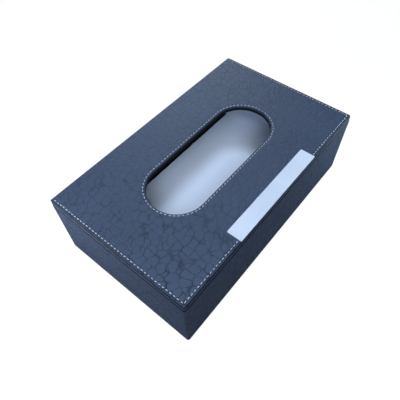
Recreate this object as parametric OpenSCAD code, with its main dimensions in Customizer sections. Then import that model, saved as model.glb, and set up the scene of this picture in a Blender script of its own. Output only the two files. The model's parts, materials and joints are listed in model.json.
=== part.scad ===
// Leatherette tissue box with a flip lid and a round-ended tissue slot.
// Origin at the middle of the underside, +X along the long side, the front at -Y,
// the hinge along the back at +Y. All sizes in millimetres.

/* [Box] */
// Length of the closed box, over the walls
box_l = 250; // [235:1:265]
// Depth of the closed box, from the front wall to the back of the hinge leather
box_w = 150; // [140:1:165]
// Height of the closed box, to the top of the lid's leather
box_h = 75; // [60:1:110]
// How far the lid's edge lies inside the walls' faces
lid_inset = 0.3; // [0:0.1:0.5]
// Radius of the box's upright corners
wall_corner_r = 2.0; // [1.5:0.5:5]

/* [Walls] */
// Thickness of the wall boards
wall_board_t = 3.0; // [2.5:0.25:4]
// Thickness of the base board
base_board_t = 2.0; // [1.5:0.25:4]
// Thickness of the leatherette on the walls and on the lid's edges
cover_t = 0.8; // [0.5:0.1:0.9]
// Height of leatherette turned in over the rim
turn_in_h = 12; // [6:1:20]
// Width of leatherette turned under the base
turn_under_w = 12; // [8:1:20]
// Thickness of the lining sheets on the walls
lining_t = 0.8; // [0.4:0.1:1.5]
// Thickness of the lining sheet on the floor
floor_lining_t = 0.5; // [0.3:0.1:1]
// Thickness of the felt sheet under the base
base_cover_t = 1.0; // [1.0:0.1:2]

/* [Lid] */
// Thickness of the lid board
lid_board_t = 2.9; // [2.2:0.1:4]
// Thickness of the embossed leather on top of the lid
top_panel_t = 1.0; // [0.6:0.1:1.6]
// Thickness of the lining under the lid
lid_lining_t = 0.8; // [0.4:0.1:1.2]
// How far the top leather's cut edge lies inside the lid's edge
panel_inset = 0.4; // [0.2:0.1:0.8]
// Radius of the lid's corners
lid_corner_r = 2.0; // [1.5:0.5:5]
// Gap between the lid's lining and the rim
lid_gap = 0.3; // [0.1:0.05:0.5]

/* [Slot] */
// Length of the slot
slot_l = 148; // [120:1:170]
// Width of the slot
slot_w = 55; // [40:1:70]

/* [Hinge] */
// Thickness of the hinge leather
hinge_leather_t = 1.0; // [0.6:0.1:1.4]
// Height of hinge leather glued to the back wall
hinge_drop = 25; // [12:1:40]

/* [Stitching] */
// Distance from one stitch to the next
stitch_pitch = 3.6; // [3:0.1:5]
// Length of thread that shows in a stitch
stitch_l = 2.4; // [1.6:0.1:2.8]
// Width of the thread
thread_w = 0.8; // [0.5:0.1:1]
// Height of the thread above the leather
thread_h = 0.35; // [0.2:0.05:0.4]
// Distance from the lid's edge to its stitch line
edge_stitch_in = 3.0; // [2.5:0.1:6]
// Distance from the slot to its stitch line
slot_stitch_out = 2.2; // [1.8:0.1:5]

/* [Name plate] */
// Length of the plate
plate_l = 111.5; // [80:0.5:140]
// Width of the plate
plate_w = 14.3; // [10:0.1:20]
// Thickness of the plate
plate_t = 0.6; // [0.4:0.1:1]
// Radius of the plate's two inner corners
plate_corner_r = 1.2; // [0.6:0.1:3]
// Distance from the lid's front edge to the plate
plate_in = 0.6; // [0.5:0.1:3]

/* [Magnets] */
// Length of a magnet bar
magnet_l = 20; // [10:1:30]
// Depth of a magnet bar, front to back
magnet_w = 2.0; // [1.5:0.1:2.2]
// Thickness of a magnet bar
magnet_t = 1.5; // [1:0.1:2]
// Distance of each magnet from the middle
magnet_x = 85; // [70:1:95]

/* [Hidden] */

$fn = 48;
// A cut runs this far past the faces that it opens
cut = 1;

// Lid layers, from the top down
lid_top_z = box_h;
lid_board_top_z = lid_top_z - top_panel_t;
lid_board_bottom_z = lid_board_top_z - lid_board_t;
lid_bottom_z = lid_board_bottom_z - lid_lining_t;

// Wall heights
rim_z = lid_bottom_z - lid_gap;
wall_board_top_z = rim_z - cover_t;
boards_bottom_z = base_cover_t;
base_board_top_z = boards_bottom_z + base_board_t;
floor_z = base_board_top_z + floor_lining_t;
turn_in_bottom_z = wall_board_top_z - turn_in_h;

// Plan rectangles, each as [left, right, front, back]
cover_out = [-box_l / 2, box_l / 2, -box_w / 2, box_w / 2 - hinge_leather_t];
lid_edge = [
    cover_out[0] + lid_inset,
    cover_out[1] - lid_inset,
    cover_out[2] + lid_inset,
    cover_out[3]
];
board_out = inset(cover_out, cover_t);
board_in = inset(board_out, wall_board_t);
lining_in = inset(board_in, lining_t);
lid_board_edge = inset(lid_edge, cover_t);
panel_edge = [
    lid_edge[0] + panel_inset,
    lid_edge[1] - panel_inset,
    lid_edge[2] + panel_inset,
    box_w / 2
];
base_cover_edge = inset(board_out, turn_under_w);

// The rounded corners of the layers share their centres
board_corner_r = wall_corner_r - cover_t;
lid_board_corner_r = lid_corner_r - cover_t;
panel_corner_r = lid_corner_r - panel_inset;

// Half length of the hinge leather, on the flat of the back wall
hinge_half_l = cover_out[1] - wall_corner_r;
hinge_back_y = box_w / 2;
hinge_bottom_z = rim_z - hinge_drop;

// Stitch lines
edge_line_x = lid_edge[1] - edge_stitch_in;
edge_line_y = lid_edge[2] + edge_stitch_in;
slot_line_r = slot_w / 2 + slot_stitch_out;
slot_straight = slot_l - slot_w;
plate_front_y = lid_edge[2] + plate_in;
// Free leather between the plate and the first stitch beside it
plate_margin = 0.4;
plate_clear_x = plate_l / 2 + plate_margin + stitch_l / 2;

// Magnets face each other across the lid's lining and the rim's leatherette
magnet_y = (lid_board_edge[2] + board_in[2]) / 2;

function inset(r, d) = [r[0] + d, r[1] - d, r[2] + d, r[3] - d];

// Rectangle with round corners
module plan(r, corner_r) {
    width = r[1] - r[0];
    depth = r[3] - r[2];
    translate([r[0], r[2] + corner_r])
        square([width, depth - 2 * corner_r]);
    translate([r[0] + corner_r, r[2]])
        square([width - 2 * corner_r, depth]);
    for (x = [r[0] + corner_r, r[1] - corner_r], y = [r[2] + corner_r, r[3] - corner_r])
        translate([x, y])
            circle(r = corner_r);
}

// Sharp rectangle
module block(r, z0, z1) {
    translate([r[0], r[2], z0])
        cube([r[1] - r[0], r[3] - r[2], z1 - z0]);
}

module slab(r, corner_r, z0, z1) {
    translate([0, 0, z0])
        linear_extrude(z1 - z0)
            plan(r, corner_r);
}

// Round-ended slot outline, grown by d
module slot_plan(d) {
    r = slot_w / 2 + d;
    square([slot_straight, 2 * r], center = true);
    for (side = [-1, 1])
        translate([side * slot_straight / 2, 0])
            circle(r = r, $fn = 96);
}

module slot_cut(d, z0, z1) {
    translate([0, 0, z0 - cut])
        linear_extrude(z1 - z0 + 2 * cut)
            slot_plan(d);
}

// One thread bar on the leather, flat below and round above
module stitch() {
    side = thread_w / 2;
    flat_r = (side * side + thread_h * thread_h) / (2 * thread_h);
    rotate([90, 0, 90])
        translate([0, 0, -stitch_l / 2])
            linear_extrude(stitch_l)
                intersection() {
                    translate([0, thread_h - flat_r])
                        circle(r = flat_r);
                    translate([-side, 0])
                        square([2 * side, thread_h]);
                }
}

module stitch_at(x, y, angle) {
    translate([x, y, lid_top_z])
        rotate([0, 0, angle])
            stitch();
}

// Base and walls

module base_board() {
    color("#b08d62")
        block(board_in, boards_bottom_z, base_board_top_z);
}

module long_wall_board(front, back) {
    color("#b08d62")
        intersection() {
            slab(board_out, board_corner_r, boards_bottom_z, wall_board_top_z);
            block([board_out[0] - cut, board_out[1] + cut, front, back], 0, box_h);
        }
}

module front_wall_board() {
    difference() {
        long_wall_board(board_out[2] - cut, board_in[2]);
        for (side = [-1, 1])
            magnet_seat(side, wall_board_top_z - magnet_t, wall_board_top_z + cut);
    }
}

module back_wall_board() {
    long_wall_board(board_in[3], board_out[3] + cut);
}

module short_wall_board(x0, x1) {
    color("#b08d62")
        block([x0, x1, board_in[2], board_in[3]], boards_bottom_z, wall_board_top_z);
}

module left_wall_board() {
    short_wall_board(board_out[0], board_in[0]);
}

module right_wall_board() {
    short_wall_board(board_in[1], board_out[1]);
}

// Leatherette round the walls, over the rim and under the base
module wall_cover() {
    color("#3d4a63")
        difference() {
            slab(cover_out, wall_corner_r, boards_bottom_z - cover_t, rim_z);
            slab(board_out, board_corner_r, boards_bottom_z, wall_board_top_z);
            block(lining_in, turn_in_bottom_z, rim_z + cut);
            block(base_cover_edge, -cut, boards_bottom_z + cut);
        }
    color("#3d4a63")
        difference() {
            block(board_in, turn_in_bottom_z, wall_board_top_z);
            block(lining_in, turn_in_bottom_z - cut, wall_board_top_z + cut);
        }
}

module base_cover() {
    color("#20242c")
        block(base_cover_edge, 0, base_cover_t);
}

// Linings: one white card on the floor and the short walls, dark ones on the long walls

module floor_lining() {
    color("#e8edf5")
        block(board_in, base_board_top_z, floor_z);
}

module lining(r) {
    block(r, floor_z, turn_in_bottom_z);
}

module front_lining() {
    color("#14161b")
        lining([board_in[0], board_in[1], board_in[2], lining_in[2]]);
}

module back_lining() {
    color("#14161b")
        lining([board_in[0], board_in[1], lining_in[3], board_in[3]]);
}

module left_lining() {
    color("#e8edf5")
        lining([board_in[0], lining_in[0], lining_in[2], lining_in[3]]);
}

module right_lining() {
    color("#e8edf5")
        lining([lining_in[1], board_in[1], lining_in[2], lining_in[3]]);
}

// Magnets

module magnet_seat(side, z0, z1) {
    x = side * magnet_x;
    y = magnet_y;
    block([x - magnet_l / 2, x + magnet_l / 2, y - magnet_w / 2, y + magnet_w / 2], z0, z1);
}

module wall_magnets() {
    color("#9a9da3")
        for (side = [-1, 1])
            magnet_seat(side, wall_board_top_z - magnet_t, wall_board_top_z);
}

module lid_magnets() {
    color("#9a9da3")
        for (side = [-1, 1])
            magnet_seat(side, lid_board_bottom_z, lid_board_bottom_z + magnet_t);
}

// Strip that joins the lid's back edge to the back wall, straight when the lid is shut
module hinge_leather() {
    color("#3a475f")
        block(
            [-hinge_half_l, hinge_half_l, hinge_back_y - hinge_leather_t, hinge_back_y],
            hinge_bottom_z,
            lid_board_top_z
        );
}

// Lid

module lid_board() {
    color("#b08d62")
        difference() {
            slab(lid_board_edge, lid_board_corner_r, lid_board_bottom_z, lid_board_top_z);
            slot_cut(cover_t, lid_board_bottom_z, lid_board_top_z);
            for (side = [-1, 1])
                magnet_seat(side, lid_board_bottom_z - cut, lid_board_bottom_z + magnet_t);
        }
}

module top_panel() {
    color("#46556f")
        difference() {
            slab(panel_edge, panel_corner_r, lid_board_top_z, lid_top_z);
            slot_cut(panel_inset, lid_board_top_z, lid_top_z);
        }
}

module lid_edge_band() {
    color("#3d4a63")
        difference() {
            slab(lid_edge, lid_corner_r, lid_bottom_z, lid_board_top_z);
            slab(lid_board_edge, lid_board_corner_r, lid_bottom_z - cut, lid_board_top_z + cut);
        }
}

// The lid's lining, turned up through the slot
module slot_edge_band() {
    color("#1b1e25")
        difference() {
            translate([0, 0, lid_bottom_z])
                linear_extrude(lid_board_top_z - lid_bottom_z)
                    slot_plan(cover_t);
            slot_cut(0, lid_bottom_z, lid_board_top_z);
        }
}

module lid_lining() {
    color("#1b1e25")
        difference() {
            slab(lid_board_edge, lid_board_corner_r, lid_bottom_z, lid_board_bottom_z);
            slot_cut(cover_t, lid_bottom_z, lid_board_bottom_z);
        }
}

// Stitching: short sides from the front corners to the hinge edge, and the front side
module edge_stitching() {
    side_run = panel_edge[3] - edge_line_y;
    side_count = floor((side_run - stitch_l / 2) / stitch_pitch);
    front_run = 2 * edge_line_x;
    front_count = floor(front_run / stitch_pitch);
    front_pitch = front_run / front_count;
    color("#a9b4cc")
        for (side = [-1, 1], i = [0 : side_count - 1])
            stitch_at(side * edge_line_x, edge_line_y + (i + 0.5) * stitch_pitch, 90);
    color("#a9b4cc")
        for (i = [0 : front_count - 1]) {
            x = -edge_line_x + (i + 0.5) * front_pitch;
            if (abs(x) > plate_clear_x)
                stitch_at(x, edge_line_y, 0);
        }
}

// Stitching round the slot: two straight runs and two half circles
module slot_stitching() {
    straight_count = floor(slot_straight / stitch_pitch);
    straight_pitch = slot_straight / straight_count;
    arc_count = floor(PI * slot_line_r / stitch_pitch);
    arc_step = 180 / arc_count;
    color("#a9b4cc")
        for (side = [-1, 1], i = [0 : straight_count - 1])
            stitch_at(-slot_straight / 2 + (i + 0.5) * straight_pitch, side * slot_line_r, 0);
    color("#a9b4cc")
        for (side = [0, 1], i = [0 : arc_count - 1]) {
            angle = -90 + (i + 0.5) * arc_step + 180 * side;
            middle_x = (1 - 2 * side) * slot_straight / 2;
            stitch_at(
                middle_x + slot_line_r * cos(angle),
                slot_line_r * sin(angle),
                angle + 90
            );
        }
}

// Bare plate along the front edge, its two inner corners rounded
module name_plate() {
    color("#dfe8f4")
        translate([0, 0, lid_top_z])
            linear_extrude(plate_t) {
                translate([-plate_l / 2, plate_front_y])
                    square([plate_l, plate_w - plate_corner_r]);
                translate([-plate_l / 2 + plate_corner_r, plate_front_y])
                    square([plate_l - 2 * plate_corner_r, plate_w]);
                for (side = [-1, 1])
                    translate([
                        side * (plate_l / 2 - plate_corner_r),
                        plate_front_y + plate_w - plate_corner_r
                    ])
                        circle(r = plate_corner_r);
            }
}

base_board();
front_wall_board();
back_wall_board();
left_wall_board();
right_wall_board();
wall_cover();
base_cover();
floor_lining();
front_lining();
back_lining();
left_lining();
right_lining();
wall_magnets();
hinge_leather();
lid_board();
top_panel();
lid_edge_band();
slot_edge_band();
lid_lining();
edge_stitching();
slot_stitching();
name_plate();
lid_magnets();
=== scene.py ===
import json
import math

import bmesh
import bpy
from mathutils import Matrix, Vector, noise
from mathutils.geometry import delaunay_2d_cdt


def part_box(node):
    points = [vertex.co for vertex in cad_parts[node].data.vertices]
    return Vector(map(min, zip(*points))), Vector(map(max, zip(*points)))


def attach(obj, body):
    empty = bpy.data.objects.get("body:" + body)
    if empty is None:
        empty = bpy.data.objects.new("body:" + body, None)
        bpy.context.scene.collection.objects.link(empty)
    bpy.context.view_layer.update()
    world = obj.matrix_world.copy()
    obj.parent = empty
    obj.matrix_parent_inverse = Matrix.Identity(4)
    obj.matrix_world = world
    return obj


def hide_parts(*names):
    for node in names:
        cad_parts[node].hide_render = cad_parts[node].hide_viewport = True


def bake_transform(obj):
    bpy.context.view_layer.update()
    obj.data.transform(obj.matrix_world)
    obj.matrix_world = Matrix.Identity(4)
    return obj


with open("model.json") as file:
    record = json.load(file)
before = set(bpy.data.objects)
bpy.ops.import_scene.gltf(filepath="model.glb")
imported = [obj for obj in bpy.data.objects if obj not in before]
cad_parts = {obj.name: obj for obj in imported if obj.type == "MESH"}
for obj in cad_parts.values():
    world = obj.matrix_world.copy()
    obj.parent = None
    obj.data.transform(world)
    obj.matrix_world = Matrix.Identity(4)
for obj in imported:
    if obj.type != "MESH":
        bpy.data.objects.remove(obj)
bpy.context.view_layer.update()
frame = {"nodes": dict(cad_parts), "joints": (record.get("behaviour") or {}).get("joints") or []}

# Lengths of meshes are in millimetres, and become metres when a mesh is made. Those of materials
# and lamps are in metres.
MM = 0.001
PI = math.pi


# ---------- sizes from the CAD frame

def cad_rect(node):
    """A node's [left, right, front, back]."""
    low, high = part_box(node)
    return [low.x / MM, high.x / MM, low.y / MM, high.y / MM]


def cad_heights(node):
    """A node's bottom and top."""
    low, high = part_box(node)
    return low.z / MM, high.z / MM


lid_edge = cad_rect("lid_edge_band")
panel_edge = cad_rect("top_panel")
wall_edge = cad_rect("wall_cover")
slot_edge_outer = cad_rect("slot_edge_band")
slot_thread = cad_rect("slot_stitching")
edge_thread = cad_rect("edge_stitching")
plate_edge = cad_rect("name_plate")
hinge_edge = cad_rect("hinge_leather")
felt_edge = cad_rect("base_cover")
lining_out = cad_rect("floor_lining")

panel_bottom_z, panel_top_z = cad_heights("top_panel")
band_bottom_z, band_top_z = cad_heights("lid_edge_band")
wall_bottom_z, rim_z = cad_heights("wall_cover")
hinge_bottom_z, hinge_top_z = cad_heights("hinge_leather")
lining_top_z = cad_heights("back_lining")[1]
floor_bottom_z, floor_top_z = cad_heights("floor_lining")

# Leather and board sizes that the boxes above don't give
COVER_T = 0.8
BOARD_T = 3.0
LINING_T = 0.8
LID_CORNER_R = 2.0
WALL_CORNER_R = 2.0
FELT_CORNER_R = 2.0
PANEL_INSET = 0.4
PANEL_CORNER_R = LID_CORNER_R - PANEL_INSET
TURN_UNDER_W = 12.0

# Slot: two straight runs and two half circles
slot_r = (slot_edge_outer[3] - slot_edge_outer[2]) / 2 - COVER_T
slot_half_straight = slot_edge_outer[1] - COVER_T - slot_r

# Stitches. Their line lies this far inside the outer side of their box.
LINE_IN_BOX = 0.36
THREAD_W = 0.58
STITCH_PITCH = 3.6
STITCH_L = 1.9
edge_line_x = edge_thread[1] - LINE_IN_BOX
edge_line_y = edge_thread[2] + LINE_IN_BOX
slot_line_r = slot_thread[3] - LINE_IN_BOX
# Distance of the stitch line from the panel's edge, and the even pitch along the front
line_in = panel_edge[1] - edge_line_x
front_len = 2 * edge_line_x
front_count = int(front_len / STITCH_PITCH)
front_pitch = front_len / front_count
# No stitches this near to the plate, or to the fold at the back
PLATE_CLEAR = 1.6
FOLD_CLEAR = 1.2

hinge_z = frame["joints"][0]["pos_m"][2] / MM


# ---------- outlines

CORNER_STEPS = 6
LEAST_R = 0.25


def even(count):
    """Fractions from 0 up to, but not at, 1."""
    return [i / count for i in range(count)]


def shrunk(rect, by):
    return [rect[0] + by, rect[1] - by, rect[2] + by, rect[3] - by]


def edge_distance(rect, x, y):
    """Distance inwards from a rectangle's nearest side."""
    return min(x - rect[0], rect[1] - x, y - rect[2], rect[3] - y)


def rect_ring(rect, corner_r, inset, runs):
    """Points of a rectangle with round corners, moved in by inset.

    It goes front, right, back, left. runs has one list of fractions for each straight run,
    so that rings of different insets have points in the same places."""
    left, right, front, back = shrunk(rect, inset)
    r = max(corner_r - inset, LEAST_R)
    corners = [(left, front), (right, front), (right, back), (left, back), (left, front)]
    directions = [(1, 0), (0, 1), (-1, 0), (0, -1)]
    points = []
    for k, (dx, dy) in enumerate(directions):
        x0, y0 = corners[k][0] + r * dx, corners[k][1] + r * dy
        x1, y1 = corners[k + 1][0] - r * dx, corners[k + 1][1] - r * dy
        points += [(x0 + (x1 - x0) * part, y0 + (y1 - y0) * part) for part in runs[k]]
        for i in range(CORNER_STEPS):
            angle = math.radians(90 * (k - 1) + 90 * i / CORNER_STEPS)
            points.append((x1 - r * dy + r * math.cos(angle), y1 + r * dx + r * math.sin(angle)))
    return points


def slot_ring(outset, along, around):
    """Points of the slot's outline, moved out by outset: front run, right end, back run, left end."""
    r = slot_r + outset
    half = slot_half_straight
    points = []
    for side in (1, -1):
        points += [(side * (-half + 2 * half * part), -side * r) for part in along]
        for part in around:
            angle = -side * PI / 2 + PI * part
            points.append((side * half + r * math.cos(angle), r * math.sin(angle)))
    return points


def slot_distance(x, y):
    """Distance from the slot's outline, outwards."""
    nearest = min(max(x, -slot_half_straight), slot_half_straight)
    return math.hypot(x - nearest, y) - slot_r


def waves(x, y, z):
    """Soft waves between 0 and 1."""
    return 0.5 + 0.5 * noise.noise(Vector((x, y, z)))


# ---------- mesh building

def new_object(name, data):
    obj = bpy.data.objects.new(name, data)
    bpy.context.scene.collection.objects.link(obj)
    return obj


def finish_mesh(name, bm, smooth=True, outward=True):
    """The bmesh, in millimetres, as an object in metres. outward turns its faces to the outside."""
    if outward:
        bmesh.ops.recalc_face_normals(bm, faces=bm.faces)
    bmesh.ops.scale(bm, vec=(MM, MM, MM), verts=bm.verts)
    mesh = bpy.data.meshes.new(name)
    bm.to_mesh(mesh)
    bm.free()
    for face in mesh.polygons:
        face.use_smooth = smooth
    return new_object(name, mesh)


def add_ring(bm, points):
    return [bm.verts.new(p) for p in points]


def level_ring(bm, points, z):
    return add_ring(bm, [(x, y, z) for x, y in points])


def join_rings(bm, first, second, materials=None):
    """Quads between two closed rings. materials has an index for each quad."""
    count = len(first)
    for i in range(count):
        after = (i + 1) % count
        face = bm.faces.new((first[i], first[after], second[after], second[i]))
        if materials:
            face.material_index = materials[i]


def join_run(bm, rings):
    """Quads between each ring and the next."""
    for first, second in zip(rings, rings[1:]):
        join_rings(bm, first, second)


def close_ends(bm, rings):
    bm.faces.new(rings[0])
    bm.faces.new(rings[-1][::-1])


def swept(name, ring_of, profile, materials):
    """A closed profile of (inset, z) carried round an outline. ring_of(inset) gives its points.

    materials has an index for each step of the profile."""
    bm = bmesh.new()
    rings = [level_ring(bm, ring_of(inset), z) for inset, z in profile]
    for i, index in enumerate(materials):
        join_rings(bm, rings[i], rings[(i + 1) % len(rings)], [index] * len(rings[i]))
    return finish_mesh(name, bm)


def fill_between(bm, outer, inner, spacing, slot_gap, rect, height):
    """Triangles between a closed outer ring and a closed ring slot_gap outside the slot."""
    verts = outer + inner
    points = [vert.co.xy for vert in verts]
    edges = []
    for start, ring in ((0, outer), (len(outer), inner)):
        edges += [(start + i, start + (i + 1) % len(ring)) for i in range(len(ring))]
    columns = int((rect[1] - rect[0]) / spacing)
    rows = int((rect[3] - rect[2]) / spacing)
    for i in range(1, columns):
        for j in range(1, rows):
            x = rect[0] + (rect[1] - rect[0]) * i / columns
            y = rect[2] + (rect[3] - rect[2]) * j / rows
            if slot_distance(x, y) > slot_gap + spacing / 2:
                points.append(Vector((x, y)))
                verts.append(bm.verts.new((x, y, height)))
    made, _, triangles, sources = delaunay_2d_cdt(points, edges, [], 0, 1e-6)[:4]
    for triangle in triangles:
        middle = (made[triangle[0]] + made[triangle[1]] + made[triangle[2]]) / 3
        if slot_distance(middle.x, middle.y) < slot_gap - 0.05:
            continue
        picked = [verts[sources[i][0]] for i in triangle]
        if len(set(picked)) == 3:
            bm.faces.new(picked)


def face_up(bm, up=True):
    """Turns all faces so that most of the area looks up, or down."""
    bmesh.ops.recalc_face_normals(bm, faces=bm.faces)
    total = sum(face.normal.z * face.calc_area() for face in bm.faces)
    if (total > 0) != up:
        bmesh.ops.reverse_faces(bm, faces=bm.faces)


# ---------- materials

class Nodes:
    """The nodes of a material or a world, with a short call for each kind that is used here."""

    def __init__(self, owner):
        owner.use_nodes = True
        self.owner = owner
        self.tree = owner.node_tree
        self.coordinates = None

    def new(self, kind, **settings):
        node = self.tree.nodes.new(kind)
        for key, value in settings.items():
            setattr(node, key, value)
        return node

    def put(self, socket, value):
        """Gives a socket a plain value, or the output of another node."""
        if isinstance(value, bpy.types.NodeSocket):
            self.tree.links.new(value, socket)
        elif socket.type == "RGBA":
            socket.default_value = (*value, 1.0)
        else:
            socket.default_value = value

    def feed(self, node, **sockets):
        """The same for several sockets by name, with _ for a space."""
        for name, value in sockets.items():
            self.put(node.inputs[name.replace("_", " ")], value)

    def fed(self, kind, *values, **settings):
        """A new node whose first sockets have these values."""
        node = self.new(kind, **settings)
        for socket, value in zip(node.inputs, values):
            self.put(socket, value)
        return node

    def place(self):
        """Place on the piece."""
        if self.coordinates is None:
            self.coordinates = self.new("ShaderNodeTexCoord")
        return self.coordinates.outputs["Object"]

    def split(self, vector):
        return self.fed("ShaderNodeSeparateXYZ", vector).outputs

    def math(self, operation, a, b=0.0, kind="ShaderNodeMath"):
        return self.fed(kind, a, b, operation=operation).outputs[0]

    def plus(self, a, b):
        return self.math("ADD", a, b)

    def minus(self, a, b):
        return self.math("SUBTRACT", a, b)

    def times(self, a, b):
        return self.math("MULTIPLY", a, b)

    def ramp(self, source, low, high, to_low=0.0, to_high=1.0):
        """source, taken smoothly from low..high to to_low..to_high."""
        node = self.new("ShaderNodeMapRange", interpolation_type="SMOOTHSTEP")
        self.feed(node, Value=source, From_Min=low, From_Max=high, To_Min=to_low, To_Max=to_high)
        return node.outputs["Result"]

    def spread(self, source, to_low=0.0, to_high=1.0):
        """Noise, which lies mostly between 0.3 and 0.7, taken to to_low..to_high."""
        return self.ramp(source, 0.3, 0.7, to_low, to_high)

    def mix(self, share, below, above):
        """The colour below, with a share of the colour above over it."""
        node = self.new("ShaderNodeMix", data_type="RGBA")
        self.feed(node, Factor=share)
        self.put(node.inputs[6], below)
        self.put(node.inputs[7], above)
        return node.outputs[2]

    def noise(self, scale, detail=3.0, roughness=0.5, place=None, out="Fac"):
        """Noise with about scale waves to a metre."""
        node = self.new("ShaderNodeTexNoise")
        place = self.place() if place is None else place
        self.feed(node, Vector=place, Scale=scale, Detail=detail, Roughness=roughness)
        return node.outputs[out]

    def cells(self, place, scale, feature, randomness):
        """Cells, about scale of them to a metre."""
        node = self.new("ShaderNodeTexVoronoi", feature=feature)
        self.feed(node, Vector=place, Scale=scale, Randomness=randomness)
        return node.outputs

    def grain(self, scale, strength, under=None):
        """The finest relief: small pits, about scale of them to a metre."""
        pits = self.cells(self.place(), scale, "F1", 1.0)["Distance"]
        return self.bump(pits, GRAIN_DEPTH, strength, under)

    def warped(self, place, scale, amount):
        """The place pushed about by up to amount, in waves of 1 / scale."""
        kind = "ShaderNodeVectorMath"
        wave = self.noise(scale, 2.0, place=place, out="Color")
        push = self.math("SUBTRACT", wave, (0.5, 0.5, 0.5), kind)
        push = self.math("MULTIPLY", push, (2 * amount,) * 3, kind)
        return self.math("ADD", place, push, kind)

    def bump(self, height, distance, strength, under=None):
        """Relief that is distance high, over the relief under it."""
        node = self.new("ShaderNodeBump")
        self.feed(node, Height=height, Distance=distance, Strength=strength)
        if under is not None:
            self.feed(node, Normal=under)
        return node.outputs["Normal"]

    def mix_shader(self, share, first, second):
        return self.fed("ShaderNodeMixShader", share, first, second).outputs[0]

    def seen_directly(self):
        """1 for what the camera sees itself or through something clear, 0 for other rays."""
        path = self.new("ShaderNodeLightPath").outputs
        return self.math("MAXIMUM", path["Is Camera Ray"], path["Is Transmission Ray"])

    def coat(self, color, roughness, normal, **others):
        """Feeds the surface's shader, and gives back the material."""
        shader = self.tree.nodes["Principled BSDF"]
        self.feed(shader, Base_Color=color, Roughness=roughness, Normal=normal, **others)
        return self.owner


def new_look(name):
    return Nodes(bpy.data.materials.new(name))


# Colours, in linear light
NAVY = (0.0145, 0.0240, 0.058)
NAVY_LIGHT = (0.0190, 0.0310, 0.071)
NAVY_SHADE = (0.0030, 0.0060, 0.018)
WALL_NAVY = (0.0185, 0.0350, 0.079)
WALL_LIGHT = (0.0250, 0.0460, 0.101)
WALL_DARK = (0.0110, 0.0215, 0.050)
# Lighter than the leather round them: a painted highlight along the lid's edge band
EDGE_HIGHLIGHT_NAVY = (0.036, 0.060, 0.112)
EDGE_HIGHLIGHT_PALE = (0.050, 0.079, 0.140)
RUBBED_NAVY = (0.036, 0.058, 0.118)
PAINT_SHADE_BLACK = (0.0025, 0.0040, 0.010)
PAINT_SHADE_NAVY = (0.010, 0.016, 0.036)
THREAD_DARK = (0.30, 0.35, 0.45)
THREAD_LIGHT = (0.43, 0.49, 0.61)
PLATE_PALE = (0.39, 0.47, 0.61)
PLATE_BRIGHT = (0.43, 0.51, 0.65)
PLATE_STREAK = (0.36, 0.45, 0.62)
FLOCK_BLACK = (0.002, 0.0025, 0.005)
FLOCK_GREY = (0.008, 0.009, 0.013)
FELT_BLACK = (0.012, 0.014, 0.019)
FELT_GREY = (0.045, 0.050, 0.062)
CARD_WHITE = (0.63, 0.75, 0.99)
CARD_BRIGHT = (0.66, 0.78, 1.00)
CARD_FIBRE = (0.55, 0.66, 0.90)
BOARD_DARK = (0.30, 0.20, 0.11)
BOARD_LIGHT = (0.48, 0.35, 0.21)
BOARD_CLOUD = (0.38, 0.27, 0.16)
NICKEL_DARK = (0.48, 0.48, 0.50)
NICKEL_LIGHT = (0.62, 0.61, 0.60)
WHITE = (1.0, 1.0, 1.0)
# The finish on the leather reflects a little bluer than the light is
BLUE_GLOSS = (0.60, 0.80, 1.00)

# Pebbles: how irregular they are, how many there are to a metre, and the width of a groove as a
# share of theirs
PEBBLE_RANDOMNESS = 0.75
EMBOSS_SCALE = 142
EMBOSS_GROOVE_W = 0.12
WALL_PEBBLE_SCALE = 330
WALL_GROOVE_W = 0.16
# Depths of relief
EMBOSS_DEPTH = 0.00036
WALL_MOTTLE_DEPTH = 0.00022
WALL_PEBBLE_DEPTH = 0.00008
GRAIN_DEPTH = 0.00005
FINE_DEPTH = 0.00006
NAP_DEPTH = 0.00025
STRAND_DEPTH = 0.00008
FIBRE_DEPTH = 0.00004
BOARD_DEPTH = 0.0001
METAL_DEPTH = 0.00002


def pebbles(look, place, scale, groove_w):
    """Rounded cells: 0 in the grooves between them and about 1 on top, and a tone for each cell."""
    nearest = look.cells(place, scale, "F1", PEBBLE_RANDOMNESS)
    second = look.cells(place, scale, "F2", PEBBLE_RANDOMNESS)
    apart = look.minus(second["Distance"], nearest["Distance"])
    # Far from its middle a cell is lower, which rounds its corners
    top = look.ramp(nearest["Distance"], 0.56, 0.78, 1.0, 0.40)
    cell = look.times(look.ramp(apart, 0.0, groove_w), top)
    return cell, look.split(nearest["Color"])[0]


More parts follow.
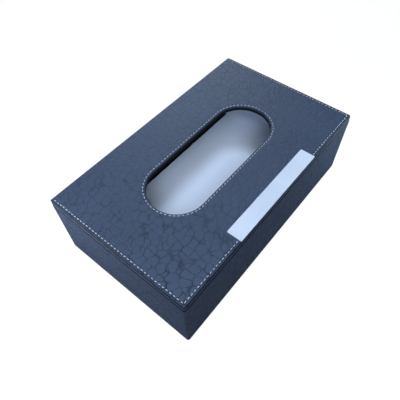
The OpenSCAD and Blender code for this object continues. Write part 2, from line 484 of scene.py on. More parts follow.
def embossed_leather():
    """Pebbled emboss with cells of about 7 mm, pressed deeper at the left end of the lid."""
    look = new_look("embossed_leather")
    place = look.place()
    bent = look.warped(look.warped(place, 55, 0.0026), 260, 0.0007)
    cell, tone = pebbles(look, bent, EMBOSS_SCALE, EMBOSS_GROOVE_W)
    groove_and_shade = look.minus(1.0, cell)
    # The grooves are painted dark, as painted shade in them. This dark grows faint towards the right,
    # and a little towards the back. Their relief fades less.
    deep_x, faint_x = -0.10, 0.05
    faint_dark, faint_relief = 0.18, 0.50
    axes = look.split(place)
    slanted = look.plus(axes[0], look.times(axes[1], 0.35))
    patchy = look.noise(28, 2.0)
    reach = look.plus(slanted, look.times(patchy, 0.08))
    press = look.ramp(reach, deep_x, faint_x, 1.0, faint_dark)
    broken = look.ramp(look.noise(130, 2.0), 0.36, 0.60, 0.40, 1.0)
    relief = look.times(groove_and_shade, look.math("MAXIMUM", press, faint_relief))
    groove_and_shade = look.times(groove_and_shade, look.times(press, broken))

    blotch = look.noise(20)
    body = look.mix(look.spread(blotch, 0.0, 0.9), NAVY, NAVY_LIGHT)
    body = look.mix(look.times(look.times(tone, press), 0.5), body, NAVY_LIGHT)
    # Painted shade: the grooves darkened
    color = look.mix(look.times(groove_and_shade, 0.88), body, NAVY_SHADE)
    # The margin outside the stitches is painted darker, as painted shade
    aside = look.minus(look.math("ABSOLUTE", axes[0]), edge_line_x * MM)
    ahead = look.minus(edge_line_y * MM, axes[1])
    shaded_margin = look.ramp(look.math("MAXIMUM", aside, ahead), 0.0003, 0.0009)
    color = look.mix(look.times(shaded_margin, 0.60), color, NAVY_SHADE)

    satin = look.plus(0.50, look.times(groove_and_shade, 0.28))
    satin = look.plus(satin, look.times(shaded_margin, 0.14))
    satin = look.plus(satin, look.times(blotch, 0.08))
    low = look.bump(look.minus(1.0, relief), EMBOSS_DEPTH, 0.9)
    mid = look.bump(look.noise(1500, 2.0), FINE_DEPTH, 0.4, low)
    top = look.grain(1100, 0.4, mid)
    return look.coat(color, satin, top, Specular_IOR_Level=0.62, Specular_Tint=BLUE_GLOSS)


def wall_leatherette():
    """Fine mottled grain, with shallow pebbles of about 3 mm."""
    look = new_look("wall_leatherette")
    bent = look.warped(look.place(), 200, 0.0008)
    cell, _ = pebbles(look, bent, WALL_PEBBLE_SCALE, WALL_GROOVE_W)
    groove_and_shade = look.minus(1.0, cell)
    mottle = look.noise(420, 4.0, 0.65)
    blotch = look.noise(30, 2.0)
    specks = look.noise(900, 2.0)
    body = look.mix(look.ramp(mottle, 0.41, 0.60), WALL_DARK, WALL_LIGHT)
    body = look.mix(look.spread(blotch, 0.2, 0.6), body, WALL_NAVY)
    body = look.mix(look.ramp(specks, 0.50, 0.66, 0.0, 0.6), body, WALL_DARK)
    # Painted shade in the grooves between the pebbles
    color = look.mix(look.times(groove_and_shade, 0.22), body, WALL_DARK)
    satin = look.spread(mottle, 0.60, 0.46)
    low = look.bump(cell, WALL_PEBBLE_DEPTH, 0.6)
    mid = look.bump(mottle, WALL_MOTTLE_DEPTH, 0.7, low)
    top = look.grain(1200, 0.5, mid)
    return look.coat(color, satin, top, Specular_IOR_Level=0.32, Specular_Tint=BLUE_GLOSS)


def edge_leather(name, dark, light):
    """Smooth leather drawn tight over an edge, of another tone where it is rubbed."""
    look = new_look(name)
    mottle = look.noise(220)
    worn = look.new("ShaderNodeNewGeometry").outputs["Pointiness"]
    rubbed = look.ramp(worn, 0.505, 0.56)
    body = look.mix(look.spread(mottle), dark, light)
    color = look.mix(look.times(rubbed, 0.4), body, RUBBED_NAVY)
    satin = look.spread(mottle, 0.60, 0.50)
    grain = look.grain(1300, 0.6)
    return look.coat(color, satin, grain, Specular_IOR_Level=0.20, Specular_Tint=BLUE_GLOSS)


def edge_paint_and_shade():
    """Dark paint on the top leather's cut edge, partly standing in for its shade; painted crease shade
    elsewhere.
    """
    look = new_look("edge_paint_and_shade")
    mottle = look.noise(500)
    color = look.mix(mottle, PAINT_SHADE_BLACK, PAINT_SHADE_NAVY)
    satin = look.spread(mottle, 0.50, 0.62)
    return look.coat(color, satin, look.bump(mottle, GRAIN_DEPTH, 0.5), Specular_IOR_Level=0.12)


def thread_material():
    """Pale twisted thread: the strands run round it at a slant."""
    look = new_look("thread")
    twist = look.new("ShaderNodeTexWave", bands_direction="DIAGONAL")
    around = look.new("ShaderNodeUVMap").outputs["UV"]
    look.feed(twist, Vector=around, Scale=1.0, Distortion=0.6, Detail=1.0)
    strand = twist.outputs["Fac"]
    color = look.mix(look.ramp(strand, 0.1, 0.7), THREAD_DARK, THREAD_LIGHT)
    rough = look.ramp(strand, 0.0, 1.0, 0.72, 0.55)
    return look.coat(color, rough, look.bump(strand, STRAND_DEPTH, 0.5), Sheen_Weight=0.15)


def plate_material():
    """Pale lacquered metal with a faint brushed grain along its length."""
    look = new_look("plate")
    stretched = look.new("ShaderNodeMapping")
    look.feed(stretched, Vector=look.place(), Scale=(60, 3500, 3500))
    brushed = look.noise(1.0, place=stretched.outputs[0])
    cloud = look.noise(30, 2.0)
    color = look.mix(look.spread(cloud), PLATE_PALE, PLATE_BRIGHT)
    color = look.mix(look.times(brushed, 0.10), color, PLATE_STREAK)
    return look.coat(color, look.spread(brushed, 0.30, 0.42), look.bump(brushed, METAL_DEPTH, 0.4))


def flock(name, dark, light, scale):
    """Short-napped cloth: a fuzzy tone and a soft sheen."""
    look = new_look(name)
    nap = look.noise(scale, 4.0, 0.7)
    stroke = look.noise(24, 2.0)
    body = look.mix(look.spread(nap), dark, light)
    color = look.mix(look.ramp(stroke, 0.35, 0.7, 0.0, 0.35), body, light)
    rough = look.spread(nap, 0.95, 0.82)
    fuzz = look.bump(nap, NAP_DEPTH, 0.7)
    return look.coat(color, rough, fuzz, Specular_IOR_Level=0.05, Sheen_Weight=0.02)


def white_card():
    """Smooth white lining card with a faint grain."""
    look = new_look("white_lining")
    fibre = look.noise(900, 4.0, 0.6)
    cloud = look.noise(18, 2.0)
    color = look.mix(look.spread(cloud), CARD_WHITE, CARD_BRIGHT)
    color = look.mix(look.times(fibre, 0.06), color, CARD_FIBRE)
    rough = look.spread(fibre, 0.55, 0.68)
    return look.coat(color, rough, look.bump(fibre, FIBRE_DEPTH, 0.4), Specular_IOR_Level=0.30)


def fibreboard():
    look = new_look("board")
    fibre = look.noise(1400, 4.0, 0.7)
    cloud = look.noise(60, 2.0)
    body = look.mix(look.spread(fibre), BOARD_DARK, BOARD_LIGHT)
    color = look.mix(look.times(cloud, 0.3), body, BOARD_CLOUD)
    return look.coat(color, look.ramp(fibre, 0.2, 0.8, 0.9, 0.7), look.bump(fibre, BOARD_DEPTH, 0.5))


def nickel():
    look = new_look("magnet")
    speck = look.noise(700)
    color = look.mix(look.spread(speck), NICKEL_DARK, NICKEL_LIGHT)
    satin = look.spread(speck, 0.22, 0.38)
    return look.coat(color, satin, look.bump(speck, METAL_DEPTH, 0.4), Metallic=1.0)


leather_mat = embossed_leather()
wall_mat = wall_leatherette()
# Its lighter colour is a painted highlight on the lid's edge band
edge_highlight_mat = edge_leather("edge_leather", EDGE_HIGHLIGHT_NAVY, EDGE_HIGHLIGHT_PALE)
slot_leather_mat = edge_leather("slot_leather", NAVY, NAVY_LIGHT)
paint_and_shade_mat = edge_paint_and_shade()
thread_mat = thread_material()
plate_mat = plate_material()
flock_mat = flock("dark_lining", FLOCK_BLACK, FLOCK_GREY, 1500)
felt_mat = flock("base_felt", FELT_BLACK, FELT_GREY, 900)
white_mat = white_card()
board_mat = fibreboard()
magnet_mat = nickel()


def dress(obj, body, slot, materials, *nodes):
    """Gives a piece its materials, its body and the CAD nodes that it stands for."""
    for mat in materials:
        obj.data.materials.append(mat)
    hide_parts(*nodes)
    if body:
        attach(obj, body)
    return obj


# ---------- leather top of the lid

# Where the leather lies flat: near its edge, the slot and the plate
FLAT_EDGE_W = 5.0
FLAT_SLOT_W = 5.5
FLAT_PLATE_W = 4.0
# Width over which the waves grow from there
EDGE_FADE_W = 12.0
SLOT_FADE_W = 8.0
# Steps of the cut edge that are painted dark, from its foot up: edge paint, and painted shade at the
# edge
PAINTED_STEPS = 5
SLOT_PAINTED_STEPS = 4


def swell(x, y):
    """How far the leather lies below its highest level, in soft waves."""
    return 0.10 * waves(x / 38, y / 30, 4.0)


def pulled(phase):
    """How far the stitches pull the leather down: 0 and 1 are at the needle holes."""
    near_hole = abs(2 * phase - 1) ** 3
    return 0.12 + 0.38 * near_hole


def run_columns(length, pitch):
    """Fractions along a straight run, four to a stitch, with a needle hole at its start."""
    step = pitch / 4
    places = [i * step for i in range(int(length / step) + 1)]
    return [p / length for p in places if 0.15 < p < length - 0.15]


def cut_edge(share):
    """Profile of the top leather's rim, from its foot to its flat top, as (inset, drop).

    share is 0 where the leather is cut and painted, and 1 on the fold at the back."""
    fold_r = panel_top_z - panel_bottom_z
    cut = [
        (0.14, 1.00), (0.05, 0.88), (0.00, 0.70), (0.03, 0.46),
        (0.14, 0.24), (0.32, 0.10), (0.56, 0.03), (0.80, 0.0),
    ]
    profile = []
    for i, (inset, drop) in enumerate(cut):
        angle = PI / 2 * i / (len(cut) - 1)
        fold = (fold_r * (1 - math.cos(angle)), fold_r * (1 - math.sin(angle)))
        profile.append((inset + (fold[0] - inset) * share, drop + (fold[1] - drop) * share))
    return profile


def back_share(x, y):
    """1 on the fold at the back, 0 on the three cut edges, and in between at the two corners."""
    from_back = panel_edge[3] - y
    if from_back > 6:
        return 0.0
    from_side = min(x - panel_edge[0], panel_edge[1] - x)
    return min(max((from_side - from_back + 1.5) / 3.0, 0.0), 1.0)


def edge_pull(x, y):
    """Pull of the edge stitches at a point near their line."""
    if abs(x) > edge_line_x - 0.4:
        at_end = y > panel_edge[3] - 3.0
        return 0.0 if at_end else pulled(((y - edge_line_y) / STITCH_PITCH) % 1.0)
    by_plate = abs(x) < plate_edge[1] + PLATE_CLEAR
    if y > edge_line_y + 1.0 or by_plate:
        return 0.0
    return pulled(((x + edge_line_x) / front_pitch) % 1.0)


def top_height(x, y):
    """Height of the leather away from its stitches."""
    near_plate = abs(x) < plate_edge[1] + FLAT_PLATE_W and y < plate_edge[3] + FLAT_PLATE_W
    if near_plate:
        return panel_top_z
    fade = min(max((edge_distance(panel_edge, x, y) - FLAT_EDGE_W) / EDGE_FADE_W, 0.0), 1.0)
    fade = min(fade, max((slot_distance(x, y) - FLAT_SLOT_W) / SLOT_FADE_W, 0.0))
    return panel_top_z - fade * swell(x, y)


def panel_rings(bm):
    """Rings from the foot of the panel's rim to the inside of its stitch line."""
    side_run = run_columns(panel_edge[3] - edge_line_y - line_in, STITCH_PITCH)
    runs = [
        [0.0] + run_columns(front_len, front_pitch),
        [0.0] + side_run,
        even(110),
        [0.0] + [1 - part for part in reversed(side_run)],
    ]

    def outline(inset):
        return rect_ring(panel_edge, PANEL_CORNER_R, inset, runs)

    base, inward = outline(0.0), outline(1.0)
    shares = [back_share(x, y) for x, y in base]
    profiles = [cut_edge(share) for share in shares]
    painted = [int(share < 0.5) for share in shares]
    rings = []
    for step in range(len(profiles[0])):
        ring = []
        for (x0, y0), (x1, y1), profile in zip(base, inward, profiles):
            inset, drop = profile[step]
            ring.append((x0 + (x1 - x0) * inset, y0 + (y1 - y0) * inset, panel_top_z - drop))
        rings.append(add_ring(bm, ring))
        if step:
            join_rings(bm, rings[-2], rings[-1], painted if step <= PAINTED_STEPS else None)
    across_line = [
        (1.25, 0.0), (1.7, 0.0), (2.0, 0.3), (2.25, 0.8), (line_in, 1.0),
        (2 * line_in - 2.25, 0.8), (2 * line_in - 2.0, 0.3), (3.6, 0.0), (4.4, 0.0), (6.0, 0.0),
    ]
    for inset, share in across_line:
        ring = [(x, y, top_height(x, y) - share * edge_pull(x, y)) for x, y in outline(inset)]
        rings.append(add_ring(bm, ring))
        join_rings(bm, rings[-2], rings[-1])
    return rings


def slot_rings(bm):
    """Rings from the foot of the slot's rim to the outside of its stitch line."""
    along = even(4 * int(2 * slot_half_straight / STITCH_PITCH))
    around = even(4 * int(PI * slot_line_r / STITCH_PITCH))
    line_out = slot_line_r - slot_r
    rings = []
    for step, (inset, drop) in enumerate(cut_edge(0.0)):
        points = slot_ring(PANEL_INSET + inset, along, around)
        rings.append(level_ring(bm, points, panel_top_z - drop))
        if step:
            painted = [1] * len(points)
            join_rings(bm, rings[-1], rings[-2], painted if step <= SLOT_PAINTED_STEPS else None)
    across_line = [
        (1.35, 0.0), (1.6, 0.3), (1.85, 0.8), (line_out, 1.0), (line_out + 0.35, 0.8),
        (line_out + 0.6, 0.3), (line_out + 0.9, 0.0), (4.2, 0.0), (5.5, 0.0),
    ]
    for outset, share in across_line:
        ring = []
        for i, (x, y) in enumerate(slot_ring(outset, along, around)):
            ring.append((x, y, panel_top_z - share * pulled((i % 4) / 4)))
        rings.append(add_ring(bm, ring))
        join_rings(bm, rings[-1], rings[-2])
    return rings


def top_leather():
    bm = bmesh.new()
    outer = panel_rings(bm)
    inner = slot_rings(bm)
    fill_between(bm, outer[-1], inner[-1], 3.0, 5.5, shrunk(panel_edge, 6), panel_top_z)
    for vert in bm.verts:
        if vert.co.z == panel_top_z:
            vert.co.z = top_height(vert.co.x, vert.co.y)
    face_up(bm)
    return finish_mesh("lid_top_leather", bm, outward=False)


dress(top_leather(), "lid", "embossed_leather", [leather_mat, paint_and_shade_mat], "top_panel")


# ---------- edges of the lid and the slot

edge_runs = [even(80), even(50)] * 2
slot_along = even(60)
slot_around = even(64)


def band_profile(low, high):
    """Profile from its lower part, as (inset, height over the foot), and its upper part, as
    (inset, depth under the top)."""
    profile = [(inset, band_bottom_z + up) for inset, up in low]
    return profile + [(inset, band_top_z - down) for inset, down in high]


lid_band_profile = band_profile(
    [(COVER_T, 0.0), (0.50, 0.08), (0.26, 0.26), (0.10, 0.56), (0.00, 1.00), (0.00, 1.5)],
    [(0.00, 1.2), (0.05, 0.65), (0.20, 0.28), (0.45, 0.08), (COVER_T, 0.0)],
)
# The first steps of the profile are painted dark as the shade of the crease over the rim, and the last
# ones as the shade of the crease under the top leather. The steps between have a painted highlight.
CREASE_SHADE_STEPS = 3
TOP_CREASE_SHADE_STEPS = 4
painted_highlight_steps = len(lid_band_profile) - CREASE_SHADE_STEPS - TOP_CREASE_SHADE_STEPS
lid_band = swept(
    "lid_edge_wrap",
    lambda inset: rect_ring(lid_edge, LID_CORNER_R, inset, edge_runs),
    lid_band_profile,
    [1] * CREASE_SHADE_STEPS + [0] * painted_highlight_steps + [1] * TOP_CREASE_SHADE_STEPS,
)
dress(lid_band, "lid", "edge_leather", [edge_highlight_mat, paint_and_shade_mat], "lid_edge_band")

slot_band_profile = band_profile(
    [(-COVER_T, 0.02), (-0.40, 0.0), (-0.14, 0.10), (-0.02, 0.45), (0.00, 1.0)],
    [(0.00, 1.2), (-0.04, 0.6), (-0.20, 0.25), (-0.45, 0.06), (-COVER_T, 0.02)],
)
# The last steps of the profile lie under the top leather and have its colour
SLOT_LEATHER_STEPS = 3
slot_band = swept(
    "slot_edge_wrap",
    lambda inset: slot_ring(-inset, slot_along, slot_around),
    slot_band_profile,
    [0] * (len(slot_band_profile) - SLOT_LEATHER_STEPS) + [1] * SLOT_LEATHER_STEPS,
)
dress(slot_band, "lid", "dark_lining", [flock_mat, slot_leather_mat], "slot_edge_band")


# ---------- lining under the lid

def lid_lining():
    """Napped sheet under the lid, with soft edges outside and round the slot."""
    bm = bmesh.new()
    rect = shrunk(lid_edge, COVER_T)
    corner_r = LID_CORNER_R - COVER_T
    runs = [even(60), even(40)] * 2
    low, high = cad_heights("lid_lining")
    profile = [(0.05, high), (0.05, low + 0.45), (0.15, low + 0.15), (0.45, low), (1.2, low), (4.0, low)]
    outer = [level_ring(bm, rect_ring(rect, corner_r, inset, runs), z) for inset, z in profile]
    join_run(bm, outer)
    profile = [(0.85, high), (0.85, low + 0.45), (0.95, low + 0.15), (1.25, low), (2.0, low), (4.5, low)]
    inner = []
    for outset, z in profile:
        inner.append(level_ring(bm, slot_ring(outset, slot_along, slot_around), z))
    for first, second in zip(inner, inner[1:]):
        join_rings(bm, second, first)
    fill_between(bm, outer[-1], inner[-1], 6.0, 4.5, shrunk(rect, 4), low)
    face_up(bm, False)
    return finish_mesh("lid_lining_sheet", bm, outward=False)


lid_lining_sheet = dress(lid_lining(), "lid", "dark_lining", [flock_mat], "lid_lining")


# ---------- stitches

# A stitch from one needle hole to the next: place along it as a share of half its length, height
# of its middle over the leather, and size as a share of the thread's
HALF_SPINE = [(0.42, 0.14, 1.0), (0.80, 0.06, 0.97), (0.97, -0.16, 0.86), (1.0, -0.50, 0.70)]
STITCH_SPINE = [(-along, up, size) for along, up, size in HALF_SPINE[::-1]]
STITCH_SPINE += [(0.0, 0.165, 1.0)] + HALF_SPINE
STITCH_SIDES = 8
# Half the thread's height, which is flatter than it is wide
THREAD_LIFT = 0.185
# Each stitch lies a little aslant, in degrees
STITCH_LEAN = 5.0
LEAN_WANDER = 3.0
# Repeats of the strands for a step along a stitch, and all round it
STRANDS_ALONG = 1.1
STRANDS_AROUND = 6.0


def add_stitch(bm, uv_layer, x, y, turn):
    """One stitch: a twisted thread that comes up from a needle hole and goes down the next."""
    half = STITCH_L / 2
    cos_t, sin_t = math.cos(turn), math.sin(turn)
    rings = []
    for along, up, size in STITCH_SPINE:
        ring = []
        for k in range(STITCH_SIDES):
            around = 2 * PI * k / STITCH_SIDES
            side = THREAD_W / 2 * size * math.cos(around)
            lift = THREAD_LIFT * size * math.sin(around)
            px = x + along * half * cos_t - side * sin_t
            py = y + along * half * sin_t + side * cos_t
            ring.append(bm.verts.new((px, py, panel_top_z + up + lift)))
        rings.append(ring)
    for i in range(len(rings) - 1):
        for k in range(STITCH_SIDES):
            after = (k + 1) % STITCH_SIDES
            face = bm.faces.new((rings[i][k], rings[i][after], rings[i + 1][after], rings[i + 1][k]))
            corners = ((i, k), (i, k + 1), (i + 1, k + 1), (i + 1, k))
            for loop, (u, v) in zip(face.loops, corners):
                loop[uv_layer].uv = (u * STRANDS_ALONG, v * STRANDS_AROUND / STITCH_SIDES)
    bm.faces.new(rings[0][::-1])
    bm.faces.new(rings[-1])


def stitch_object(name, places):
    bm = bmesh.new()
    uv_layer = bm.loops.layers.uv.new("thread")
    for number, (x, y, angle) in enumerate(places):
        wander = noise.noise(Vector((number * 1.7, 3.1, 0.0)))
        add_stitch(bm, uv_layer, x, y, angle + math.radians(STITCH_LEAN + LEAN_WANDER * wander))
    return finish_mesh(name, bm)


def edge_places():
    """Middle and direction of each stitch near the lid's edge."""
    places = []
    side_count = int((panel_edge[3] - edge_line_y - FOLD_CLEAR) / STITCH_PITCH)
    for i in range(side_count):
        y = edge_line_y + (i + 0.5) * STITCH_PITCH
        places.append((-edge_line_x, y, -PI / 2))
        places.append((edge_line_x, y, PI / 2))
    for i in range(front_count):
        x = -edge_line_x + (i + 0.5) * front_pitch
        if abs(x) > plate_edge[1] + PLATE_CLEAR:
            places.append((x, edge_line_y, 0.0))
    return places


def slot_places():
    """Middle and direction of each stitch round the slot."""
    places = []
    straight_count = int(2 * slot_half_straight / STITCH_PITCH)
    pitch = 2 * slot_half_straight / straight_count
    arc_count = int(PI * slot_line_r / STITCH_PITCH)
    for i in range(straight_count):
        x = -slot_half_straight + (i + 0.5) * pitch
        places.append((x, -slot_line_r, 0.0))
        places.append((x, slot_line_r, PI))
    for side in (1, -1):
        for i in range(arc_count):
            angle = -PI / 2 + PI * (i + 0.5) / arc_count + (0 if side > 0 else PI)
            x = side * slot_half_straight + slot_line_r * math.cos(angle)
            places.append((x, slot_line_r * math.sin(angle), angle + PI / 2))
    return places


edge_stitches = stitch_object("edge_stitches", edge_places())
dress(edge_stitches, "lid", "thread", [thread_mat], "edge_stitching")
slot_stitches = stitch_object("slot_stitches", slot_places())
dress(slot_stitches, "lid", "thread", [thread_mat], "slot_stitching")


# ---------- plate

PLATE_CORNER_R = 1.2
PLATE_FRONT_R = 0.35
# It is let into the leather by this much
PLATE_SINK = 0.15


def bare_plate():
    """Thin plate with a soft edge; the two corners away from the lid's edge are round."""
    bm = bmesh.new()
    left, right, front, back = plate_edge

    def outline(inset):
        points = []
        corners = [
            (right - PLATE_FRONT_R, front + PLATE_FRONT_R, PLATE_FRONT_R, -90),
            (right - PLATE_CORNER_R, back - PLATE_CORNER_R, PLATE_CORNER_R, 0),
            (left + PLATE_CORNER_R, back - PLATE_CORNER_R, PLATE_CORNER_R, 90),
            (left + PLATE_FRONT_R, front + PLATE_FRONT_R, PLATE_FRONT_R, 180),
        ]
        for x, y, r, first in corners:
            reach = max(r - inset, 0.02)
            for i in range(9):
                angle = math.radians(first + 90 * i / 8)
                points.append((x + reach * math.cos(angle), y + reach * math.sin(angle)))
        return points

    low, high = cad_heights("name_plate")
    low -= PLATE_SINK
    profile = [
        (0.10, low), (0.0, low + 0.1),
        (0.0, high - 0.22), (0.03, high - 0.10), (0.10, high - 0.03), (0.20, high),
    ]
    rings = [level_ring(bm, outline(inset), z) for inset, z in profile]
    join_run(bm, rings)
    close_ends(bm, rings)
    return finish_mesh("plate_bare", bm, smooth=False)


dress(bare_plate(), "lid", "plate", [plate_mat], "name_plate")


# ---------- walls

wall_runs = [even(60), even(36)] * 2
WALL_ROWS = 14
# How far the skin bulges in over the boards, and the margin at foot and rim where it doesn't
BULGE = 0.14
BULGE_MARGIN = 4.0


def wall_leather():
    """One skin: turned under the base, up the walls, over the rim and down inside."""
    inner_in = COVER_T + BOARD_T + LINING_T
    under = COVER_T + TURN_UNDER_W
    low = wall_bottom_z
    profile = [(under, low + COVER_T), (under, low + 0.1), (under - 0.4, low), (3.0, low), (1.1, low)]
    foot = [(0.55, 0.10), (0.20, 0.40), (0.04, 0.85), (0.0, 1.6)]
    profile += [(inset, low + up) for inset, up in foot]
    first, last = low + 5, rim_z - 5
    profile += [(0.0, first + (last - first) * i / WALL_ROWS) for i in range(WALL_ROWS + 1)]
    # The rim's rounding, in the crease under the lid, is painted dark: painted shade
    crease = range(len(profile) + 1, len(profile) + 5)
    rim = [(0.0, 2.4), (0.0, 1.1), (0.06, 0.70), (0.24, 0.34), (0.52, 0.10), (0.90, 0.0), (1.6, 0.0)]
    profile += [(inset, rim_z - down) for inset, down in rim]
    inside = [(1.6, 0.0), (0.95, 0.03), (0.45, 0.25), (0.14, 0.75), (0.0, 1.5), (0.0, 5.0)]
    profile += [(inner_in - out, rim_z - down) for out, down in inside]
    hem = [(0.0, 0.7), (0.10, 0.25), (0.30, 0.05), (COVER_T, 0.0)]
    profile += [(inner_in - out, lining_top_z + up) for out, up in hem]
    profile += [
        (inner_in - COVER_T, rim_z - COVER_T),
        (COVER_T, rim_z - COVER_T),
        (COVER_T, low + COVER_T),
    ]
    obj = swept(
        "wall_leather",
        lambda inset: rect_ring(wall_edge, WALL_CORNER_R, inset, wall_runs),
        profile,
        [int(i in crease) for i in range(len(profile))],
    )
    # The skin is a little uneven over the boards
    for vert in obj.data.vertices:
        x, y, z = (c / MM for c in vert.co)
        outside = edge_distance(wall_edge, x, y) < 0.3
        if outside and BULGE_MARGIN < z < rim_z - BULGE_MARGIN:
            fade = min((z - BULGE_MARGIN) / 8, (rim_z - BULGE_MARGIN - z) / 8, 1.0)
            shift = BULGE * waves(x / 26, y / 26, z / 22) * fade * MM
            if abs(x) > wall_edge[1] - 1.0:
                vert.co.x -= math.copysign(shift, x)
            else:
                vert.co.y -= math.copysign(shift, y)
    return obj


dress(wall_leather(), "box", "wall_leatherette", [wall_mat, paint_and_shade_mat], "wall_cover")


# ---------- hinge

HINGE_COLUMNS = 120
# Rows over its lower part, and their pitch from there to the top, where it bends
HINGE_LOW_ROWS = (0.0, 0.15, 0.5, 1.5, 4.0, 8.0, 12.0, 16.0, 19.0, 20.5)
HINGE_ROW_H = 0.25


def near(distance, width):
    """1 at distance 0, falling in a curve to 0 at width."""
    return max(0.0, 1 - distance / width) ** 2


def hinge_strip():
    """Leather that runs from the lid's back edge down the back wall, with a crease at the rim."""
    bm = bmesh.new()
    left, right, inner, outer = hinge_edge
    heights = [hinge_bottom_z + step for step in HINGE_LOW_ROWS]
    z = heights[-1] + 2 * HINGE_ROW_H
    while z < hinge_top_z - 0.05:
        heights.append(z)
        z += HINGE_ROW_H
    heights.append(hinge_top_z)
    rings = []
    for height in heights:
        crease = 0.30 * near(abs(height - hinge_z), 1.6)
        taper = 0.55 * near(height - hinge_bottom_z, 0.5)
        row_out, row_in = [], []
        for i in range(HINGE_COLUMNS + 1):
            x = left + (right - left) * i / HINGE_COLUMNS
            side_taper = 0.45 * near(min(x - left, right - x), 1.2)
            y_out = outer - crease - max(taper, side_taper) - 0.06 * waves(x / 22, height / 14, 9.0)
            row_out.append((x, y_out, height))
            row_in.append((x, inner + 0.02, height))
        rings.append(add_ring(bm, row_out + row_in[::-1]))
    join_run(bm, rings)
    for ring in (rings[0], rings[-1]):
        for i in range(HINGE_COLUMNS):
            bm.faces.new((ring[i], ring[i + 1], ring[-i - 2], ring[-i - 1]))
    return finish_mesh("hinge_strip", bm)


strip = dress(hinge_strip(), None, "embossed_leather", [leather_mat], "hinge_leather")
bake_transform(strip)


# ---------- inside of the box

# Bend of the white card, steps of it, and the gap that it leaves all round
BEND_R = 8.0
BEND_STEPS = 12
END_GAP = 0.05
# The foot of a dark lining lies on the floor: its width, and its height over the card
FOOT_W = 2.5
FOOT_H = 0.40


def white_liner():
    """White card: the floor, bent up at both ends to line the short walls."""
    left, right, front, back = lining_out
    inside_y, inside_w = front + LINING_T, back - front - 2 * LINING_T
    low, floor, top = floor_bottom_z + END_GAP, floor_top_z, lining_top_z
    # The right half of its inner face, from the top of the end down to the floor
    face = right - LINING_T
    rise = top - floor - BEND_R
    half = [(face, floor + BEND_R + rise * i / 8) for i in range(8, 0, -1)]
    for i in range(BEND_STEPS + 1):
        angle = PI / 2 * i / BEND_STEPS
        half.append((face - BEND_R * (1 - math.cos(angle)), floor + BEND_R * (1 - math.sin(angle))))
    flat = face - BEND_R
    middle = [(-flat + 2 * flat * i / 40, floor) for i in range(1, 40)]
    path = [(-x, z) for x, z in half] + middle + half[::-1]
    out_left, out_right = left + END_GAP, right - END_GAP
    shell = [(out_right, top), (out_right, low), (out_left, low), (out_left, top)]
    rows = [inside_y + inside_w * i / 36 for i in range(37)]
    rows = [front + END_GAP] + rows + [back - END_GAP]
    bm = bmesh.new()
    rings = []
    for number, y in enumerate(rows):
        under_lining = number in (0, len(rows) - 1)
        ring = []
        for i, (x, z) in enumerate(path + shell):
            if i < len(path):
                z -= 0.12 * waves(x / 45, y / 35, z / 40)
            ring.append((x, y, min(z, floor - 0.02) if under_lining else z))
        rings.append(add_ring(bm, ring))
    join_run(bm, rings)
    close_ends(bm, rings)
    return finish_mesh("white_liner", bm)


dress(
    white_liner(), "box", "white_lining", [white_mat],
    "floor_lining", "left_lining", "right_lining",
)


def long_lining(name, node):
    """Napped lining on a long wall, its top edge under the turned-in leather.

    Its foot is turned onto the floor, over the edge of the white card."""
    left, right, front, back = cad_rect(node)
    bottom, top = cad_heights(node)
    face_y, wall_y, inward = (front, back, -1) if front > 0 else (back, front, 1)
    foot_z = floor_top_z + FOOT_H
    under_z = floor_top_z - 0.15
    columns, rows = 60, 14
    foot = [(0.15, 0.35), (0.5, 0.08), (1.0, 0.0), (FOOT_W - 0.4, 0.0), (FOOT_W - 0.1, -0.12)]
    bm = bmesh.new()
    rings = []
    for i in range(columns + 1):
        x = left + (right - left) * i / columns
        ring = [(x, wall_y, bottom), (x, wall_y, top)]
        for j in range(rows + 1):
            z = top + (foot_z + 1.0 - top) * j / rows
            dip = 0.08 * waves(x / 20, 0.0, z / 20)
            ring.append((x, face_y - inward * dip, z))
        uneven = 0.25 * noise.noise(Vector((x / 9, 5.0, 0.0)))
        for out, up in foot:
            ring.append((x, face_y + inward * (out + uneven * out / FOOT_W), foot_z + up))
        ring.append((x, face_y + inward * (FOOT_W + uneven), under_z))
        ring.append((x, face_y + inward * 0.2, under_z))
        rings.append(add_ring(bm, ring))
    join_run(bm, rings)
    close_ends(bm, rings)
    return finish_mesh(name, bm, smooth=False)


for side in ("front", "back"):
    node = side + "_lining"
    sheet = dress(long_lining(node + "_sheet", node), "box", "dark_lining", [flock_mat], node)


def base_felt():
    """Felt sheet under the box, with a soft lower edge."""
    runs = [even(40), even(24)] * 2
    low, high = cad_heights("base_cover")
    profile = [(0.0, high), (0.0, low + 0.30), (0.10, low + 0.08), (0.35, low), (3.0, low)]
    bm = bmesh.new()
    rings = [level_ring(bm, rect_ring(felt_edge, FELT_CORNER_R, inset, runs), z) for inset, z in profile]
    join_run(bm, rings)
    close_ends(bm, rings)
    return finish_mesh("base_felt_sheet", bm)


felt = dress(base_felt(), "box", "base_felt", [felt_mat], "base_cover")


# ---------- CAD nodes that stay

def redress(node, mat):
    slots = frame["nodes"][node].data.materials
    if not len(slots):
        slots.append(mat)
    for i in range(len(slots)):
        slots[i] = mat


for node in frame["nodes"]:
    if node.endswith("_board"):
        redress(node, board_mat)
    elif node.endswith("_magnets"):
        redress(node, magnet_mat)


# ---------- floor, light and camera

FLOOR_HALF = 3000
# Share of pure white in what the camera sees of the floor; the rest shows the shadow
FLOOR_WHITE = 0.88


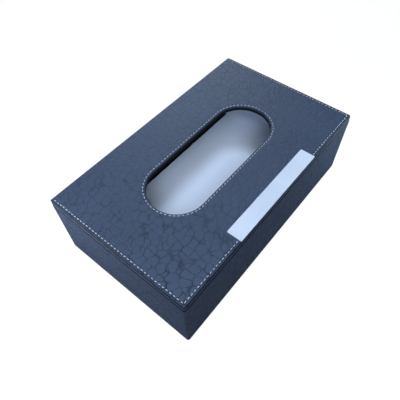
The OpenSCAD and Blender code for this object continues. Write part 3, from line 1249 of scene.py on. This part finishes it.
def studio_floor():
    """Pale floor that keeps the object's shadow and is white to the camera."""
    bm = bmesh.new()
    bmesh.ops.create_grid(bm, x_segments=8, y_segments=8, size=FLOOR_HALF)
    obj = finish_mesh("studio_floor", bm, outward=False)
    look = new_look("studio_floor")
    shader = look.tree.nodes["Principled BSDF"]
    look.feed(shader, Base_Color=(0.17, 0.17, 0.18), Roughness=1.0, Specular_IOR_Level=0.0)
    pale = look.new("ShaderNodeBsdfDiffuse")
    look.feed(pale, Color=(0.95, 0.94, 0.92))
    white = look.new("ShaderNodeEmission")
    look.feed(white, Color=WHITE, Strength=1.0)
    seen = look.mix_shader(FLOOR_WHITE, pale.outputs[0], white.outputs[0])
    picked = look.mix_shader(look.seen_directly(), shader.outputs[0], seen)
    look.feed(look.tree.nodes["Material Output"], Surface=picked)
    obj.data.materials.append(look.owner)


studio_floor()


def area_light(name, place, target, size, watts, color=WHITE):
    data = bpy.data.lights.new(name, "AREA")
    data.shape = "DISK"
    data.color = color
    data.size = size
    data.energy = watts
    obj = new_object(name, data)
    obj.location = place
    direction = Vector(target) - Vector(place)
    obj.rotation_euler = direction.to_track_quat("-Z", "Y").to_euler()
    obj.visible_camera = False


# A broad and a low lamp over the front left corner and one overhead, two behind the box for
# the sheen on its leather, and two small ones that brighten the far ends of the two near walls
BOX = (0, 0, 0.04)
COOL = (0.88, 0.95, 1.0)
COOLER = (0.78, 0.92, 1.0)
area_light("key", (-0.56, -0.50, 1.25), BOX, 0.85, 6.8)
area_light("key_low", (-0.46, -0.44, 0.72), BOX, 0.35, 3.4, COOL)
area_light("overhead", (-0.08, -0.08, 1.28), BOX, 0.40, 7.6, COOL)
area_light("sheen_right", (0.90, 0.75, 0.75), BOX, 0.80, 6.4, COOL)
area_light("sheen_back", (0.50, 0.90, 0.45), BOX, 0.60, 2.6, COOL)
area_light("near_left", (-0.25, 0.12, 0.120), (-0.125, 0.02, 0.05), 0.12, 0.54)
area_light("near_right", (0.20, -0.150, 0.088), (0.10, -0.075, 0.05), 0.06, 0.25, COOLER)


def world_light(strength):
    """Faint light from all round; the camera sees plain white instead."""
    world = bpy.data.worlds.new("studio_world")
    bpy.context.scene.world = world
    look = Nodes(world)
    soft = look.tree.nodes["Background"]
    look.feed(soft, Color=(0.95, 0.97, 1.0), Strength=strength)
    white = look.new("ShaderNodeBackground")
    look.feed(white, Color=WHITE, Strength=1.0)
    picked = look.mix_shader(look.seen_directly(), soft.outputs[0], white.outputs[0])
    look.feed(look.tree.nodes["World Output"], Surface=picked)


world_light(0.05)


def photo_camera():
    """Camera fitted to the photograph: where it stands, and how it is turned and tilted."""
    turn, height, roll = (math.radians(v) for v in (-49.10, 54.68, -1.84))
    place = Vector((-191.08, -150.15, 347.45)) * MM
    photo_w = 400
    focal_length_px = 400.46
    data = bpy.data.cameras.new("photo_camera")
    data.sensor_fit = "HORIZONTAL"
    data.sensor_width = 36
    data.lens = data.sensor_width * (focal_length_px / photo_w)
    data.clip_start = 0.01
    data.clip_end = 20
    camera = new_object("photo_camera", data)
    turned = Matrix.Rotation(turn, 4, "Z") @ Matrix.Rotation(PI / 2 - height, 4, "X")
    camera.matrix_world = Matrix.Translation(place) @ turned @ Matrix.Rotation(roll, 4, "Z")
    bpy.context.scene.camera = camera


photo_camera()
bpy.context.scene.view_settings.view_transform = "Standard"
